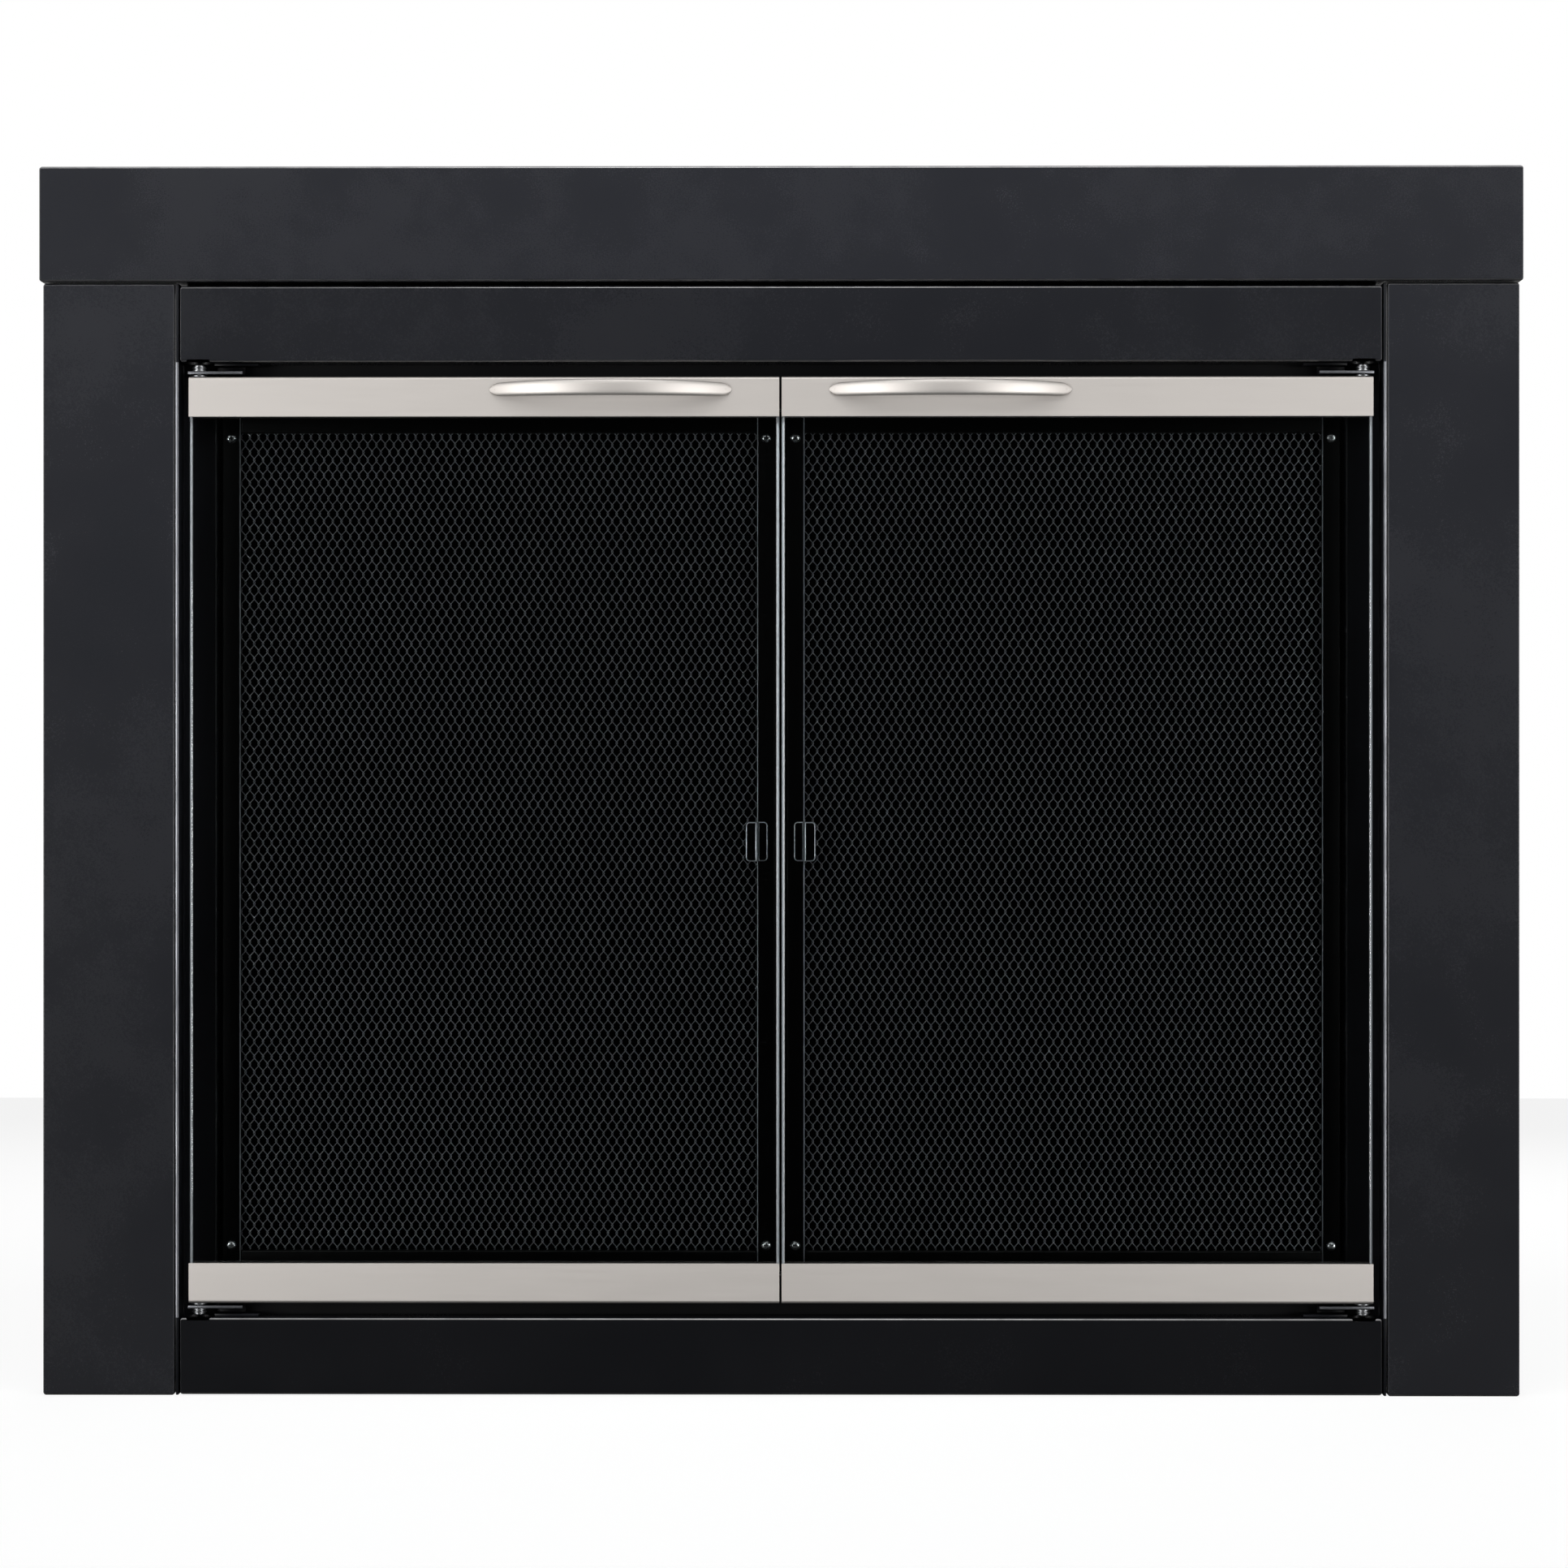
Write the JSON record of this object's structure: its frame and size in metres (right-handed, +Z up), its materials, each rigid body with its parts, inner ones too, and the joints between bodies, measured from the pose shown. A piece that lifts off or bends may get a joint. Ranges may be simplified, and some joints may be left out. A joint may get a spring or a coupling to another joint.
{
  "type": "fireplace glass door",
  "caption": "Cabinet-style fireplace door: black steel surround, glass doors with nickel rails and bow handles on vertical pivots, hinged mesh gates behind.",
  "frame": {"origin": "centre of the bounding box on the hearth plane that the stiles and floor brackets stand on", "axes": "+X to the right of the person who faces the fire, +Y into the wall, +Z up; the doors face -Y"},
  "size_m": [0.9524, 0.1202, 0.7896],
  "materials": {
    "black_powder_coat": "satin black powder coat",
    "charcoal_paint": "matt charcoal heat paint",
    "satin_nickel": "satin nickel",
    "zinc_steel": "bright zinc",
    "gate_wire": "blackened woven wire",
    "gasket_rubber": "soft black channel",
    "door_glass": "clear toughened glass"
  },
  "bodies": {
    "surround": {"header_panel": "black_powder_coat", "upper_rail_panel": "black_powder_coat", "lower_rail_panel": "black_powder_coat", "head_channel": "charcoal_paint", "sill_channel": "charcoal_paint", "left_stile_panel": "black_powder_coat", "left_jamb_channel": "charcoal_paint", "left_upper_pivot_bracket": "zinc_steel", "left_upper_pivot_screw": "zinc_steel", "left_upper_pivot_washer": "zinc_steel", "left_lower_pivot_bracket": "zinc_steel", "left_lower_pivot_screw": "zinc_steel", "left_lower_pivot_washer": "zinc_steel", "left_magnetic_catch": "charcoal_paint", "left_lintel_clamp": "zinc_steel", "left_clamp_bolt": "zinc_steel", "left_hearth_bracket": "zinc_steel", "right_stile_panel": "black_powder_coat", "right_jamb_channel": "charcoal_paint", "right_upper_pivot_bracket": "zinc_steel", "right_upper_pivot_screw": "zinc_steel", "right_upper_pivot_washer": "zinc_steel", "right_lower_pivot_bracket": "zinc_steel", "right_lower_pivot_screw": "zinc_steel", "right_lower_pivot_washer": "zinc_steel", "right_magnetic_catch": "charcoal_paint", "right_lintel_clamp": "zinc_steel", "right_clamp_bolt": "zinc_steel", "right_hearth_bracket": "zinc_steel"},
    "left_glass_door": {"left_door_upper_rail": "satin_nickel", "left_door_lower_rail": "satin_nickel", "left_door_upper_pivot_block": "zinc_steel", "left_door_lower_pivot_block": "zinc_steel", "left_door_upper_gasket": "gasket_rubber", "left_door_lower_gasket": "gasket_rubber", "left_door_glass": "door_glass", "left_door_handle": "satin_nickel", "left_door_strike_plate": "zinc_steel"},
    "right_glass_door": {"right_door_upper_rail": "satin_nickel", "right_door_lower_rail": "satin_nickel", "right_door_upper_pivot_block": "zinc_steel", "right_door_lower_pivot_block": "zinc_steel", "right_door_upper_gasket": "gasket_rubber", "right_door_lower_gasket": "gasket_rubber", "right_door_glass": "door_glass", "right_door_handle": "satin_nickel", "right_door_strike_plate": "zinc_steel"},
    "left_mesh_gate": {"left_gate_hinge_stile": "charcoal_paint", "left_gate_meeting_stile": "charcoal_paint", "left_gate_upper_rail": "charcoal_paint", "left_gate_lower_rail": "charcoal_paint", "left_gate_net": "gate_wire", "left_gate_clip": "charcoal_paint"},
    "right_mesh_gate": {"right_gate_hinge_stile": "charcoal_paint", "right_gate_meeting_stile": "charcoal_paint", "right_gate_upper_rail": "charcoal_paint", "right_gate_lower_rail": "charcoal_paint", "right_gate_net": "gate_wire", "right_gate_clip": "charcoal_paint"}
  },
  "joints": [
    {"name": "left_door_hinge", "type": "hinge", "parent": "surround", "child": "left_glass_door", "pos_m": [-0.3744, -0.0273, 0.357], "axis": [0, 0, -1], "range_deg": [0, 110]},
    {"name": "right_door_hinge", "type": "hinge", "parent": "surround", "child": "right_glass_door", "pos_m": [0.3744, -0.0273, 0.357], "axis": [0, 0, 1], "range_deg": [0, 110]},
    {"name": "left_gate_hinge", "type": "hinge", "parent": "surround", "child": "left_mesh_gate", "pos_m": [-0.35605, -0.0058, 0.3555], "axis": [0, 0, -1], "range_deg": [0, 88]},
    {"name": "right_gate_hinge", "type": "hinge", "parent": "surround", "child": "right_mesh_gate", "pos_m": [0.35605, -0.0058, 0.3555], "axis": [0, 0, 1], "range_deg": [0, 88]}
  ],
  "couplings": [
    {"joint": "left_gate_hinge", "follows": "left_door_hinge", "ratio": 0.8},
    {"joint": "right_gate_hinge", "follows": "right_door_hinge", "ratio": 0.8}
  ]
}
